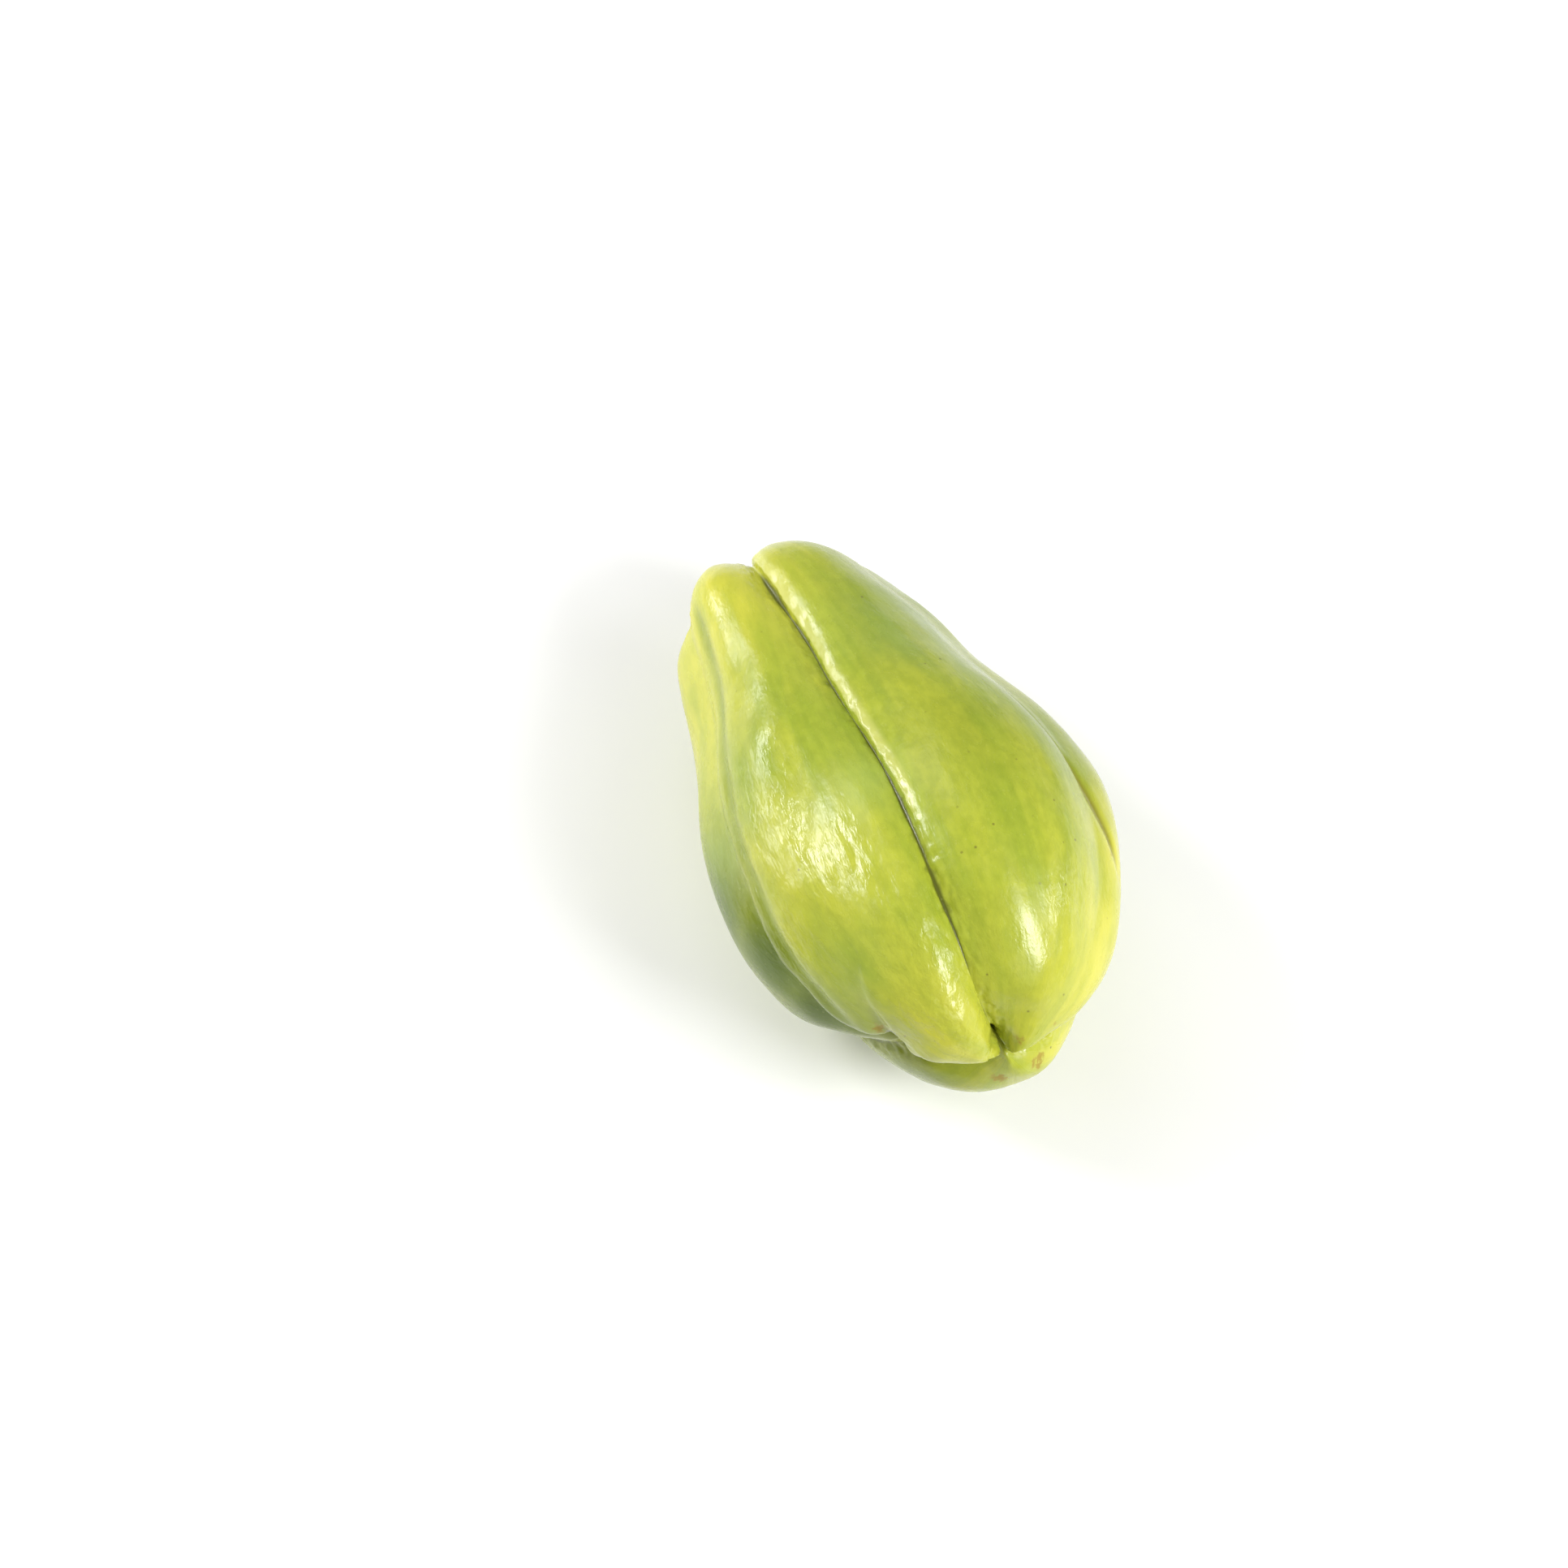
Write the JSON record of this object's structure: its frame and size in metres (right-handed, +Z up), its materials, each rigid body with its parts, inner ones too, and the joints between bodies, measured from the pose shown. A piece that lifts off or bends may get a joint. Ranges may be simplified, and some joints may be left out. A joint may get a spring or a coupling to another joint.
{
  "type": "chayote squash",
  "caption": "Pear-shaped yellow-green squash as picked, lying on its side, with lengthwise furrows that meet in a puckered blossom end.",
  "frame": {"origin": "on the surface that the fruit lies on, under the middle of its bounding box", "axes": "+Z up; +Y towards the stem end and -Y towards the blossom end, along the fruit; +X to the right when the blossom end faces the viewer"},
  "size_m": [0.0854, 0.1376, 0.073],
  "materials": {
    "skin": "glossy waxy fruit skin, yellow-green, darker in the furrows, with fine streaks, specks and small russet scuffs"
  },
  "bodies": {
    "root": {"chayote_fruit": "skin"}
  },
  "joints": []
}
